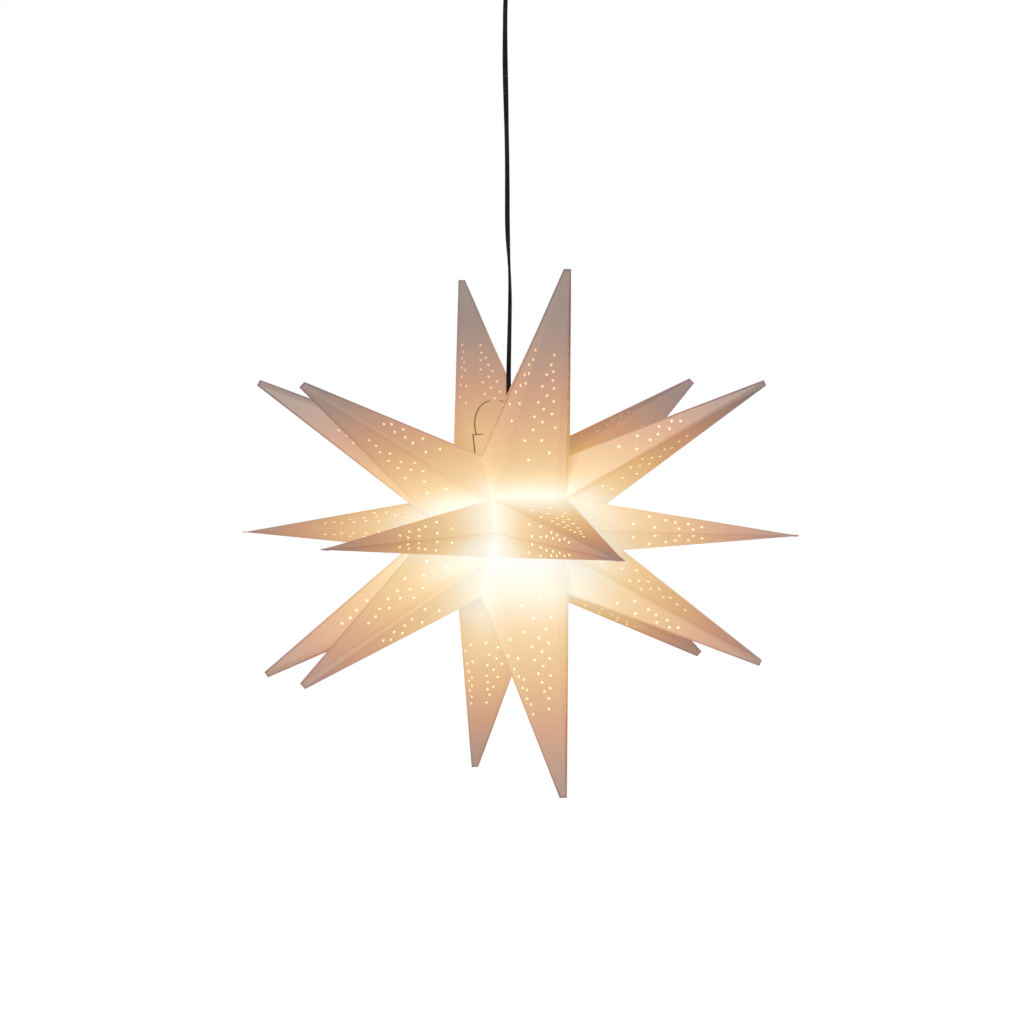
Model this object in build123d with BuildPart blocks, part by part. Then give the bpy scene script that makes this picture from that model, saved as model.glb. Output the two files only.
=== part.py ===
from build123d import *
import math
import os

# A folded paper star with eighteen hollow points, lit from inside, on a flat twin cord from the ceiling.
# Millimetres, +Z up. The origin is where the mounting bracket meets the ceiling, and the front faces -Y.
# The star's own axis runs along X. Round it stand six segments, each of two creased sheets that are glued
# together along the segment's zigzag edge, and each segment has a middle point and two side points.
# An angle round that axis is 0 at the front, 90 at the top and 180 at the back.

# Longer than any piece, for cuts that go right through
beyond = 2000.0

# --- Star
hang_drop = 650.0
middle_tip_reach = 300.0
side_tip_reach = 296.0
side_tip_tilt = 55.0
valley_reach = 60.3
valley_half_length = 39.7
outline_valley_reach = 82.4
outline_valley_half_span = 46.3
pole_half_span = 79.4
tip_width = 5.2
sheet_thickness = 0.5
seam_width = 2.2
seam_thickness = 0.4
seam_overlap = 0.6
pole_hole_radius = 2.0
seam_pole_gap = 3.0
cord_notch_radius = 8.0
segment_angles = {
    "front": -2.7,
    "top_front": 57.3,
    "top_back": 122.7,
    "back": 185.7,
    "bottom_back": 246.7,
    "bottom_front": 300.7,
}

# --- Closing flaps, which lie over the front of the top back point
flap_hinge_rise = 1.3
flap_thickness = 0.5
flap_root_radius = 0.5
flap_root_half_width = 38.6
flap_shoulder_half_width = 34.0
flap_shoulder_height = 37.0
flap_arch_half_width = 30.5
flap_arch_height = 83.0
flap_slot_half_width = 5.0
slit_length = 8.0
slit_width = 1.0
slit_cut_reach = 2.6

# --- Cord: flat twin flex
cord_width = 5.5
cord_thickness = 2.8
core_radius = 1.3
cord_bore_clearance = 0.2
swing_reach = 20.0
swing_spare = 2.0
swing_link_length = 12.0

# --- Ceiling fitting
canopy_radius = 45.0
canopy_height = 44.0
canopy_wall = 1.8
canopy_edge_radius = 6.0
bracket_width = 18.0
bracket_thickness = 1.5
bracket_clearance = 0.4
bracket_bend_radius = 2.0
ear_drop = 17.0
ceiling_slot_spacing = 50.0
ceiling_slot_length = 12.0
ceiling_slot_width = 4.5
side_screw_radius = 2.0
side_screw_depth = 11.0
side_screw_head_radius = 3.6
side_screw_head_height = 2.4
side_screw_length = 8.0
screw_clearance = 0.1
grip_thread_radius = 4.9
grip_hole_clearance = 0.2
grip_body_radius = 7.0
grip_body_length = 8.0
grip_thread_length = 9.0
grip_chamfer = 0.9
grip_nut_flats = 14.0
grip_nut_height = 4.0
grip_screw_radius = 1.5
grip_screw_stand_out = 1.2

# --- Terminal block in the canopy
block_length = 18.0
block_depth = 16.0
block_height = 11.0
block_edge_radius = 1.0
pole_spacing = 8.0
clamp_outer_radius = 2.5
clamp_bore_radius = 1.6
clamp_length = 14.0
clamp_screw_radius = 1.3
clamp_screw_spacing = 7.0
block_screw_radius = 1.5
block_screw_head_radius = 2.6
block_screw_head_height = 1.8
cord_loop_reach = 22.0
cord_loop_drop = 24.0
core_bend_radius = 6.0
wired_bend_radius = 1.45

# --- Lamp holder
cap_rest_gap = 0.3
cap_radius = 15.0
cap_height = 28.0
cap_wall = 1.6
cap_edge_radius = 4.0
shell_neck_length = 8.0
shell_neck_clearance = 0.2
shell_length = 20.0
shell_rim_radius = 12.0
shell_wall = 1.8
insert_thickness = 6.0
insert_clearance = 0.4
screw_contact_radius = 7.2
screw_contact_wall = 0.4
screw_contact_length = 24.0
centre_contact_radius = 3.0
centre_contact_thickness = 0.8
terminal_size = 5.0
terminal_offset = 7.0
terminal_screw_radius = 1.2
terminal_screw_head_radius = 2.0
terminal_screw_head_height = 1.4
clamp_bar_length = 18.0
clamp_bar_width = 9.0
clamp_bar_height = 4.0
clamp_bar_screw_radius = 1.0
clamp_bar_screw_spacing = 13.0
clamp_bar_screw_head_radius = 1.8
clamp_bar_screw_head_height = 1.2

# --- Bulb
bulb_contact_gap = 0.05
bulb_length = 78.0
bulb_radius = 22.5
bulb_neck_radius = 6.4
bulb_shoulder_radius = 12.0
bulb_glass_wall = 0.8
bulb_cap_radius = 6.9
bulb_cap_wall = 0.3
bulb_cap_length = 16.0
bulb_cap_cone_height = 2.2
bulb_cap_top_radius = 3.6
bulb_contact_radius = 2.4
bulb_contact_height = 1.2
stem_radius = 1.6
stem_hub_radius = 7.0
stem_hub_thickness = 1.0
filament_radius = 0.9
filament_circle_radius = 5.6
filament_length = 24.0
filament_count = 4

# --- Places worked out from the sizes above
star_centre = Vector(0, 0, -hang_drop)
regular_half_angle = math.pi / len(segment_angles)
face_run = math.dist(
    (middle_tip_reach * math.cos(regular_half_angle), middle_tip_reach * math.sin(regular_half_angle)),
    (valley_reach, 0),
)
main_face_distance = valley_reach * middle_tip_reach * math.sin(regular_half_angle) / face_run
sheet_draw_in = sheet_thickness / main_face_distance
canopy_bore_radius = canopy_radius - canopy_wall
ear_reach = math.sqrt(canopy_bore_radius**2 - (bracket_width / 2) ** 2) - bracket_clearance
canopy_hole_radius = grip_thread_radius + grip_hole_clearance
grip_bottom_z = -canopy_height - grip_body_length
grip_top_z = -canopy_height + grip_thread_length
grip_screw_z = grip_bottom_z + grip_body_length / 2
link_bottom_z = grip_bottom_z - swing_link_length
block_bottom_z = -bracket_thickness - block_height
pole_z = -bracket_thickness - block_height / 2
cap_top_z = star_centre.Z + valley_reach * (1 - sheet_draw_in) - cap_rest_gap
cap_bottom_z = cap_top_z - cap_height
cap_bore_radius = cap_radius - cap_wall
shell_neck_radius = cap_bore_radius - shell_neck_clearance
shell_rim_z = cap_bottom_z - shell_length
insert_bottom_z = cap_bottom_z + shell_neck_length
insert_top_z = insert_bottom_z + insert_thickness
bulb_top_z = insert_bottom_z - centre_contact_thickness - bulb_contact_gap
bulb_cap_top_z = bulb_top_z - bulb_contact_height
bulb_cap_bottom_z = bulb_cap_top_z - bulb_cap_cone_height - bulb_cap_length
bulb_centre_z = bulb_top_z - bulb_length + bulb_radius
filament_top_z = bulb_centre_z + filament_length / 2
clamp_bar_top_z = cap_top_z - cap_wall
core_offset = (cord_width - cord_thickness) / 2

os.makedirs("parts", exist_ok=True)


def save(builder, name):
    """Name the finished piece and write it out by itself."""
    builder.part.label = name
    export_step(builder.part, f"parts/{name}.step")


def circles_of(builder, radius):
    """The round edges of a piece that have this radius."""
    rounds = builder.edges().filter_by(GeomType.CIRCLE)
    return rounds.filter_by(lambda edge: math.isclose(edge.radius, radius, abs_tol=0.01))


def ray(angle, reach, along=0.0):
    """A point at an angle round the star's axis, some way out from it and some way along it."""
    turn = math.radians(angle)
    return Vector(along, -reach * math.cos(turn), reach * math.sin(turn))


def half_outline():
    """One half of a segment's zigzag edge, from the pole to the middle tip, as (along, out) pairs."""
    tilt = math.radians(side_tip_tilt)
    tip_along = side_tip_reach * math.sin(tilt)
    tip_out = side_tip_reach * math.cos(tilt)
    half_tip = tip_width / 2
    return [
        (pole_half_span, 0),
        (tip_along + half_tip * math.cos(tilt), tip_out - half_tip * math.sin(tilt)),
        (tip_along - half_tip * math.cos(tilt), tip_out + half_tip * math.sin(tilt)),
        (outline_valley_half_span, outline_valley_reach),
        (half_tip, middle_tip_reach),
    ]


def sheet_facets(seam_angle, valley_angle):
    """The flat facets between a sheet's creases, from its seam to its valley line."""
    facets = []
    valley_ends = []
    middle_tip_ends = []
    for side in (-1, 1):
        edge = [ray(seam_angle, out, side * along) for along, out in half_outline()]
        pole, side_tip_outer, side_tip_inner, notch, middle_tip = edge
        valley = ray(valley_angle, valley_reach, side * valley_half_length)
        facets.append((valley, pole, side_tip_outer))
        facets.append((valley, side_tip_outer, side_tip_inner))
        facets.append((valley, side_tip_inner, notch))
        facets.append((valley, notch, middle_tip))
        valley_ends.append(valley)
        middle_tip_ends.append(middle_tip)
    facets.append((*valley_ends, *middle_tip_ends))
    return facets


# The closing flaps' plane: its origin on their hinge line, its Y up the front of the top back point.
top_valley_angle = (segment_angles["top_front"] + segment_angles["top_back"]) / 2
flap_hinge = star_centre + ray(top_valley_angle, valley_reach + flap_hinge_rise)
flap_rise = ray(segment_angles["top_back"], middle_tip_reach) - ray(top_valley_angle, valley_reach)
flap_plane = Plane(origin=flap_hinge, x_dir=(1, 0, 0), z_dir=Vector(1, 0, 0).cross(flap_rise))


def star_sheet(seam_angle, valley_angle):
    """One creased sheet: nine flat facets, the glued rim along its zigzag edge, and its holes."""
    with BuildPart() as sheet:
        for facet in sheet_facets(seam_angle, valley_angle):
            outer = [star_centre + corner for corner in facet]
            inner = [star_centre + corner * (1 - sheet_draw_in) for corner in facet]
            ConvexPolyhedron(outer + inner)
        out_direction = ray(seam_angle, 1)
        seam_plane = Plane(origin=star_centre, x_dir=(1, 0, 0), z_dir=Vector(1, 0, 0).cross(out_direction))
        with BuildSketch(seam_plane):
            right_edge = half_outline()
            left_edge = [(-along, out) for along, out in reversed(right_edge)]
            with BuildLine():
                Polyline(*right_edge, *left_edge, close=True)
            make_face()
            inside = offset(amount=-seam_overlap, kind=Kind.INTERSECTION, mode=Mode.PRIVATE)
            offset(amount=seam_width, kind=Kind.INTERSECTION)
            add(inside, mode=Mode.SUBTRACT)
            with Locations((0, seam_pole_gap)):
                Rectangle(beyond, beyond, align=(Align.CENTER, Align.MAX), mode=Mode.SUBTRACT)
        own_side = 1 if valley_angle < seam_angle else -1
        extrude(amount=own_side * seam_thickness)
        with Locations(star_centre):
            Cylinder(radius=pole_hole_radius, height=beyond, rotation=(0, 90, 0), mode=Mode.SUBTRACT)
        if math.isclose(valley_angle, top_valley_angle):
            with Locations(flap_hinge):
                Cylinder(radius=cord_notch_radius, height=4 * cord_notch_radius, mode=Mode.SUBTRACT)
        if math.isclose(valley_angle, top_valley_angle) and valley_angle < seam_angle:
            slit_middle = (flap_shoulder_half_width + flap_arch_half_width) / 2
            with BuildSketch(flap_plane):
                with Locations((-slit_middle, flap_shoulder_height), (slit_middle, flap_shoulder_height)):
                    Rectangle(slit_length, slit_width)
            extrude(amount=slit_cut_reach, both=True, mode=Mode.SUBTRACT)
    return sheet


def closing_flap(side):
    """Half of the round-topped lid over the cord's way in, on its fold along the top valley."""
    with BuildPart() as flap:
        with BuildSketch(flap_plane):
            with BuildLine():
                Polyline(
                    (0, 0),
                    (flap_root_half_width, 0),
                    (flap_shoulder_half_width, flap_shoulder_height),
                    (flap_arch_half_width, flap_shoulder_height),
                )
                arch = EllipticalCenterArc(
                    (0, flap_shoulder_height),
                    flap_arch_half_width,
                    flap_arch_height - flap_shoulder_height,
                    start_angle=0,
                    arc_size=90,
                )
                Line(arch @ 1, (0, 0))
            make_face()
            Rectangle(2 * flap_slot_half_width, beyond, mode=Mode.SUBTRACT)
            if side < 0:
                mirror(about=Plane.YZ, mode=Mode.REPLACE)
        extrude(amount=flap_thickness / 2, both=True)
        root_middle = side * (flap_slot_half_width + flap_root_half_width) / 2
        with Locations(flap_hinge + Vector(root_middle, 0, 0)):
            Cylinder(
                radius=flap_root_radius,
                height=flap_root_half_width - flap_slot_half_width,
                rotation=(0, 90, 0),
            )
    return flap


def cord_length_piece(top_z, bottom_z, top_ridge=None, bottom_ridge=None):
    """A straight length of the flat cord. A ridged end lets it tip against its neighbour about that axis."""
    slope = math.tan(math.radians((swing_reach + swing_spare) / 2))
    with BuildPart() as cord:
        with BuildSketch(Plane.XY.offset(bottom_z)):
            SlotOverall(cord_width, cord_thickness)
        extrude(amount=top_z - bottom_z)
        for ridge, z, away in ((top_ridge, top_z, 1), (bottom_ridge, bottom_z, -1)):
            if ridge is None:
                continue
            half = cord_width
            with BuildSketch(Plane.YZ if ridge == Axis.X else Plane.XZ):
                for hand in (-1, 1):
                    with BuildLine():
                        Polyline(
                            (0, z),
                            (hand * half, z - away * half * slope),
                            (hand * half, z + away * half),
                            (0, z + away * half),
                            close=True,
                        )
                    make_face()
            extrude(amount=cord_width, both=True, mode=Mode.SUBTRACT)
    return cord


# --- Ceiling fitting
with BuildPart() as bracket:
    with BuildSketch(Plane.XZ):
        Rectangle(2 * ear_reach, ear_drop, align=(Align.CENTER, Align.MAX))
        with Locations((0, -bracket_thickness)):
            Rectangle(
                2 * (ear_reach - bracket_thickness),
                ear_drop,
                align=(Align.CENTER, Align.MAX),
                mode=Mode.SUBTRACT,
            )
    extrude(amount=bracket_width / 2, both=True)
    fillet(bracket.edges().filter_by(Axis.Y).group_by(Axis.Z)[-1], bracket_bend_radius)
    with BuildSketch():
        with GridLocations(ceiling_slot_spacing, 0, 2, 1):
            SlotOverall(ceiling_slot_length, ceiling_slot_width)
        Circle(block_screw_radius + screw_clearance)
    extrude(amount=-bracket_thickness, mode=Mode.SUBTRACT)
    with Locations((0, 0, -side_screw_depth)):
        Cylinder(
            radius=side_screw_radius + screw_clearance,
            height=beyond,
            rotation=(0, 90, 0),
            mode=Mode.SUBTRACT,
        )
save(bracket, "mounting_bracket")

with BuildPart() as canopy:
    with BuildSketch(Plane.XZ):
        with BuildLine():
            Polyline(
                (canopy_hole_radius, -canopy_height),
                (canopy_radius, -canopy_height),
                (canopy_radius, 0),
                (canopy_bore_radius, 0),
                (canopy_bore_radius, canopy_wall - canopy_height),
                (canopy_hole_radius, canopy_wall - canopy_height),
                close=True,
            )
        make_face()
    revolve(axis=Axis.Z)
    fillet(circles_of(canopy, canopy_radius).sort_by(Axis.Z)[0], canopy_edge_radius)
    fillet(circles_of(canopy, canopy_bore_radius).sort_by(Axis.Z)[0], canopy_edge_radius - canopy_wall)
    with Locations((0, 0, -side_screw_depth)):
        Cylinder(
            radius=side_screw_radius + 2 * screw_clearance,
            height=beyond,
            rotation=(0, 90, 0),
            mode=Mode.SUBTRACT,
        )
save(canopy, "canopy")

with BuildPart() as canopy_screws:
    for side in (-1, 1):
        with BuildSketch(Plane(origin=(side * canopy_radius, 0, -side_screw_depth), z_dir=(side, 0, 0))):
            Circle(side_screw_head_radius)
        extrude(amount=side_screw_head_height)
        fillet(
            canopy_screws.edges().filter_by(GeomType.CIRCLE).sort_by(Axis.X)[-1 if side > 0 else 0],
            side_screw_head_height / 2,
        )
        with BuildSketch(Plane(origin=(side * canopy_radius, 0, -side_screw_depth), z_dir=(-side, 0, 0))):
            Circle(side_screw_radius)
        extrude(amount=side_screw_length)
save(canopy_screws, "canopy_screws")

with BuildPart() as grip:
    with BuildSketch(Plane.XY.offset(grip_bottom_z)):
        Circle(grip_body_radius)
    extrude(amount=grip_body_length)
    chamfer(grip.edges().group_by(Axis.Z)[0], grip_chamfer)
    with BuildSketch(Plane.XY.offset(-canopy_height)):
        Circle(grip_thread_radius)
    extrude(amount=grip_thread_length)
    with BuildSketch(Plane.XY.offset(grip_bottom_z)):
        SlotOverall(cord_width + 2 * cord_bore_clearance, cord_thickness + 2 * cord_bore_clearance)
    extrude(amount=grip_thread_length + grip_body_length, mode=Mode.SUBTRACT)
    with BuildSketch(Plane(origin=(0, 0, grip_screw_z), z_dir=(0, -1, 0))):
        Circle(grip_screw_radius + screw_clearance)
    extrude(amount=beyond, mode=Mode.SUBTRACT)
save(grip, "cord_grip")

with BuildPart() as grip_nut:
    with BuildSketch(Plane.XY.offset(canopy_wall - canopy_height)):
        RegularPolygon(radius=grip_nut_flats / 2, side_count=6, major_radius=False)
        Circle(grip_thread_radius + screw_clearance, mode=Mode.SUBTRACT)
    extrude(amount=grip_nut_height)
save(grip_nut, "cord_grip_nut")

with BuildPart() as grip_screw:
    screw_start = cord_thickness / 2
    with BuildSketch(Plane(origin=(0, -screw_start, grip_screw_z), z_dir=(0, -1, 0))):
        Circle(grip_screw_radius)
    extrude(amount=grip_body_radius - screw_start + grip_screw_stand_out)
save(grip_screw, "cord_grip_screw")

# --- Terminal block
pole_plane = Plane(origin=(0, block_depth / 2, pole_z), x_dir=(1, 0, 0), z_dir=(0, -1, 0))
clamp_plane = Plane(origin=(0, clamp_length / 2, pole_z), x_dir=(1, 0, 0), z_dir=(0, -1, 0))

with BuildPart() as block:
    with BuildSketch(Plane.XY.offset(block_bottom_z)):
        RectangleRounded(block_length, block_depth, block_edge_radius)
    extrude(amount=block_height)
    with BuildSketch(pole_plane):
        with GridLocations(pole_spacing, 0, 2, 1):
            Circle(clamp_outer_radius + screw_clearance)
    extrude(amount=block_depth, mode=Mode.SUBTRACT)
    with BuildSketch(Plane.XY.offset(block_bottom_z)):
        with GridLocations(pole_spacing, clamp_screw_spacing, 2, 2):
            Circle(clamp_screw_radius + screw_clearance)
    extrude(amount=block_height / 2, mode=Mode.SUBTRACT)
    with BuildSketch(Plane.XY.offset(block_bottom_z)):
        Circle(block_screw_radius + screw_clearance)
    extrude(amount=block_height, mode=Mode.SUBTRACT)
save(block, "terminal_block")

with BuildPart() as block_clamps:
    with BuildSketch(clamp_plane):
        with GridLocations(pole_spacing, 0, 2, 1):
            Circle(clamp_outer_radius)
            Circle(clamp_bore_radius, mode=Mode.SUBTRACT)
    extrude(amount=clamp_length)
    with BuildSketch(Plane.XY.offset(pole_z - clamp_outer_radius)):
        with GridLocations(pole_spacing, clamp_screw_spacing, 2, 2):
            Circle(clamp_screw_radius + screw_clearance)
    extrude(amount=clamp_outer_radius, mode=Mode.SUBTRACT)
save(block_clamps, "terminal_clamps")

with BuildPart() as block_clamp_screws:
    with BuildSketch(Plane.XY.offset(block_bottom_z)):
        with GridLocations(pole_spacing, clamp_screw_spacing, 2, 2):
            Circle(clamp_screw_radius)
    extrude(amount=pole_z - core_radius - block_bottom_z)
save(block_clamp_screws, "terminal_screws")

with BuildPart() as block_screw:
    with BuildSketch(Plane.XY.offset(block_bottom_z)):
        Circle(block_screw_head_radius)
    extrude(amount=-block_screw_head_height)
    fillet(block_screw.edges().group_by(Axis.Z)[0], block_screw_head_height / 2)
    with BuildSketch(Plane.XY.offset(block_bottom_z)):
        Circle(block_screw_radius)
    extrude(amount=block_height + bracket_thickness)
save(block_screw, "terminal_block_screw")

# --- Cord: the part in the ceiling fitting, a short swinging link, the hanging length and the wired end
with BuildPart() as supply_cord:
    add(cord_length_piece(grip_top_z, grip_bottom_z, bottom_ridge=Axis.X).part)
    for side in (-1, 1):
        core_start = (side * core_offset, 0, grip_top_z - cord_thickness)
        core_end = (side * pole_spacing / 2, -clamp_screw_spacing / 2 + clamp_screw_radius, pole_z)
        with BuildLine() as core_route:
            FilletPolyline(
                core_start,
                (side * core_offset, 0, -cord_loop_drop),
                (side * pole_spacing / 2, -cord_loop_reach, -cord_loop_drop),
                (side * pole_spacing / 2, -cord_loop_reach, pole_z),
                core_end,
                radius=core_bend_radius,
            )
        with BuildSketch(Plane(origin=core_start, z_dir=(0, 0, 1))):
            Circle(core_radius)
        sweep(path=core_route.line)
save(supply_cord, "supply_cord")

link = cord_length_piece(grip_bottom_z, link_bottom_z, top_ridge=Axis.X, bottom_ridge=Axis.Y)
save(link, "cord_swing_link")

hanging_cord = cord_length_piece(link_bottom_z, cap_top_z, top_ridge=Axis.Y)
save(hanging_cord, "hanging_cord")
cord_section = (cord_width - cord_thickness) * cord_thickness + math.pi * cord_thickness**2 / 4
free_length = grip_bottom_z - cap_top_z
print("free cord length", round(free_length, 1), "mm")
volume_share = hanging_cord.part.volume / (cord_section * (link_bottom_z - cap_top_z))
print("hanging cord's volume over its section times its length", round(volume_share, 4))

with BuildPart() as wired_end:
    add(cord_length_piece(cap_top_z, clamp_bar_top_z - clamp_bar_height).part)
    for side in (-1, 1):
        core_start = (side * core_offset, 0, clamp_bar_top_z)
        bend_z = clamp_bar_top_z - clamp_bar_height - core_radius
        with BuildLine() as core_route:
            FilletPolyline(
                core_start,
                (side * core_offset, 0, bend_z),
                (side * terminal_offset, 0, insert_top_z + terminal_size + core_radius),
                (side * terminal_offset, 0, insert_top_z + terminal_size / 2),
                radius=wired_bend_radius,
            )
        with BuildSketch(Plane(origin=core_start, z_dir=(0, 0, -1))):
            Circle(core_radius)
        sweep(path=core_route.line)
save(wired_end, "wired_cord_end")

# --- Lamp holder
with BuildPart() as holder_cap:
    with BuildSketch(Plane.XY.offset(cap_bottom_z)):
        Circle(cap_radius)
    extrude(amount=cap_height)
    fillet(holder_cap.edges().group_by(Axis.Z)[-1], cap_edge_radius)
    with BuildSketch(Plane.XY.offset(cap_bottom_z)):
        Circle(cap_bore_radius)
    extrude(amount=cap_height - cap_wall, mode=Mode.SUBTRACT)
    fillet(circles_of(holder_cap, cap_bore_radius).sort_by(Axis.Z)[-1], cap_edge_radius - cap_wall)
    with BuildSketch(Plane.XY.offset(cap_top_z)):
        SlotOverall(cord_width + 2 * cord_bore_clearance, cord_thickness + 2 * cord_bore_clearance)
        with GridLocations(0, clamp_bar_screw_spacing, 1, 2):
            Circle(clamp_bar_screw_radius + screw_clearance)
    extrude(amount=-cap_wall, mode=Mode.SUBTRACT)
save(holder_cap, "holder_cap")

with BuildPart() as clamp_bar:
    with BuildSketch(Plane.XY.offset(clamp_bar_top_z)):
        SlotOverall(clamp_bar_length, clamp_bar_width, rotation=90)
        SlotOverall(cord_width, cord_thickness, mode=Mode.SUBTRACT)
        with GridLocations(0, clamp_bar_screw_spacing, 1, 2):
            Circle(clamp_bar_screw_radius + screw_clearance, mode=Mode.SUBTRACT)
    extrude(amount=-clamp_bar_height)
save(clamp_bar, "holder_cord_clamp")

with BuildPart() as clamp_bar_screws:
    with BuildSketch(Plane.XY.offset(clamp_bar_top_z - clamp_bar_height)):
        with GridLocations(0, clamp_bar_screw_spacing, 1, 2):
            Circle(clamp_bar_screw_head_radius)
    extrude(amount=-clamp_bar_screw_head_height)
    with BuildSketch(Plane.XY.offset(clamp_bar_top_z - clamp_bar_height)):
        with GridLocations(0, clamp_bar_screw_spacing, 1, 2):
            Circle(clamp_bar_screw_radius)
    extrude(amount=clamp_bar_height + cap_wall / 2)
save(clamp_bar_screws, "holder_cord_clamp_screws")

with BuildPart() as holder_shell:
    shell_bore_radius = screw_contact_radius + screw_contact_wall + shell_neck_clearance
    with BuildSketch(Plane.XZ):
        with BuildLine():
            Polyline(
                (shell_rim_radius - shell_wall, shell_rim_z),
                (shell_rim_radius, shell_rim_z),
                (cap_radius, cap_bottom_z),
                (shell_neck_radius, cap_bottom_z),
                (shell_neck_radius, insert_bottom_z),
                (shell_bore_radius, insert_bottom_z),
                (shell_bore_radius, shell_rim_z + shell_wall),
                close=True,
            )
        make_face()
    revolve(axis=Axis.Z)
save(holder_shell, "holder_shell")

with BuildPart() as insert:
    with BuildSketch(Plane.XY.offset(insert_bottom_z)):
        Circle(cap_bore_radius - insert_clearance)
    extrude(amount=insert_thickness)
    chamfer(insert.edges().group_by(Axis.Z)[-1], insert_clearance)
save(insert, "holder_insert")

with BuildPart() as screw_contact:
    with BuildSketch(Plane.XY.offset(insert_bottom_z)):
        Circle(screw_contact_radius + screw_contact_wall)
        Circle(screw_contact_radius, mode=Mode.SUBTRACT)
    extrude(amount=-screw_contact_length)
save(screw_contact, "screw_contact")

with BuildPart() as centre_contact:
    with BuildSketch(Plane.XY.offset(insert_bottom_z)):
        Circle(centre_contact_radius)
    extrude(amount=-centre_contact_thickness)
save(centre_contact, "centre_contact")

with BuildPart() as terminals:
    with Locations((-terminal_offset, 0, insert_top_z), (terminal_offset, 0, insert_top_z)):
        Box(
            terminal_size,
            terminal_size,
            terminal_size,
            align=(Align.CENTER, Align.CENTER, Align.MIN),
        )
        Cylinder(
            radius=core_radius + screw_clearance,
            height=2 * terminal_size,
            align=(Align.CENTER, Align.CENTER, Align.MIN),
            mode=Mode.SUBTRACT,
        )
    with Locations((0, 0, insert_top_z + terminal_size / 2)):
        Cylinder(
            radius=terminal_screw_radius + screw_clearance,
            height=4 * terminal_offset,
            rotation=(0, 90, 0),
            mode=Mode.SUBTRACT,
        )
save(terminals, "holder_terminals")

with BuildPart() as terminal_screws:
    for side in (-1, 1):
        head_plane = Plane(
            origin=(side * (terminal_offset + terminal_size / 2), 0, insert_top_z + terminal_size / 2),
            z_dir=(side, 0, 0),
        )
        with BuildSketch(head_plane):
            Circle(terminal_screw_head_radius)
        extrude(amount=terminal_screw_head_height)
        with BuildSketch(head_plane):
            Circle(terminal_screw_radius)
        extrude(amount=-(terminal_size / 2 - core_radius - screw_clearance))
save(terminal_screws, "holder_terminal_screws")


# --- Bulb and cap
def bulb_form(inset):
    """The round bulb and its neck as one solid, drawn in all round by an inset."""
    ball = bulb_radius - inset
    neck = bulb_neck_radius - inset
    throat_height = math.sqrt(ball**2 - neck**2)
    with BuildPart() as form:
        with BuildSketch(Plane.XZ) as half_section:
            with Locations((0, bulb_centre_z)):
                Circle(ball)
                Rectangle(
                    2 * neck,
                    bulb_cap_bottom_z + bulb_cap_length / 2 - bulb_centre_z,
                    align=(Align.CENTER, Align.MIN),
                )
            throat = half_section.vertices().filter_by(
                lambda corner: math.isclose(corner.Y, bulb_centre_z + throat_height, abs_tol=0.01)
            )
            fillet(throat, bulb_shoulder_radius + inset)
            with Locations((0, bulb_centre_z)):
                Rectangle(beyond, beyond, align=(Align.MAX, Align.CENTER), mode=Mode.SUBTRACT)
        revolve(axis=Axis.Z)
    return form


with BuildPart() as glass:
    add(bulb_form(0).part)
    add(bulb_form(bulb_glass_wall).part, mode=Mode.SUBTRACT)
save(glass, "bulb_glass")

with BuildPart() as bulb_cap:
    with BuildSketch(Plane.XZ):
        with BuildLine():
            Polyline(
                (0, bulb_cap_top_z),
                (bulb_cap_top_radius, bulb_cap_top_z),
                (bulb_cap_radius, bulb_cap_top_z - bulb_cap_cone_height),
                (bulb_cap_radius, bulb_cap_bottom_z),
                (bulb_cap_radius - bulb_cap_wall, bulb_cap_bottom_z),
                (bulb_cap_radius - bulb_cap_wall, bulb_cap_top_z - bulb_cap_cone_height),
                (0, bulb_cap_top_z - bulb_cap_cone_height),
                close=True,
            )
        make_face()
    revolve(axis=Axis.Z)
save(bulb_cap, "bulb_cap")

with BuildPart() as bulb_contact:
    with BuildSketch(Plane.XY.offset(bulb_cap_top_z)):
        Circle(bulb_contact_radius)
    extrude(amount=bulb_contact_height)
    fillet(bulb_contact.edges().group_by(Axis.Z)[-1], bulb_contact_height / 2)
save(bulb_contact, "bulb_contact")

with BuildPart() as stem:
    stem_top_z = bulb_cap_top_z - bulb_cap_cone_height
    with BuildSketch(Plane.XY.offset(stem_top_z)):
        Circle(stem_radius)
    extrude(amount=filament_top_z - filament_length - stem_top_z)
    lower_hub_z = filament_top_z - filament_length - stem_hub_thickness
    with BuildSketch(Plane.XY.offset(filament_top_z), Plane.XY.offset(lower_hub_z)):
        Circle(stem_hub_radius)
    extrude(amount=stem_hub_thickness)
save(stem, "bulb_stem")

with BuildPart() as filaments:
    with BuildSketch(Plane.XY.offset(filament_top_z)):
        with PolarLocations(filament_circle_radius, filament_count):
            Circle(filament_radius)
    extrude(amount=-filament_length)
save(filaments, "bulb_filaments")

# --- Star sheets, two to a segment: sheet_1 on the side of the lower angle, sheet_2 on the other
segment_names = list(segment_angles)
for place, name in enumerate(segment_names):
    seam_angle = segment_angles[name]
    before = segment_angles[segment_names[place - 1]]
    if place == 0:
        before -= 360
    after = segment_angles[segment_names[(place + 1) % len(segment_names)]]
    if place == len(segment_names) - 1:
        after += 360
    save(star_sheet(seam_angle, (before + seam_angle) / 2), f"{name}_sheet_1")
    save(star_sheet(seam_angle, (seam_angle + after) / 2), f"{name}_sheet_2")

save(closing_flap(-1), "closing_flap_left")
save(closing_flap(1), "closing_flap_right")
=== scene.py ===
import math

import bmesh
import bpy
from mathutils import Matrix, Vector


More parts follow.
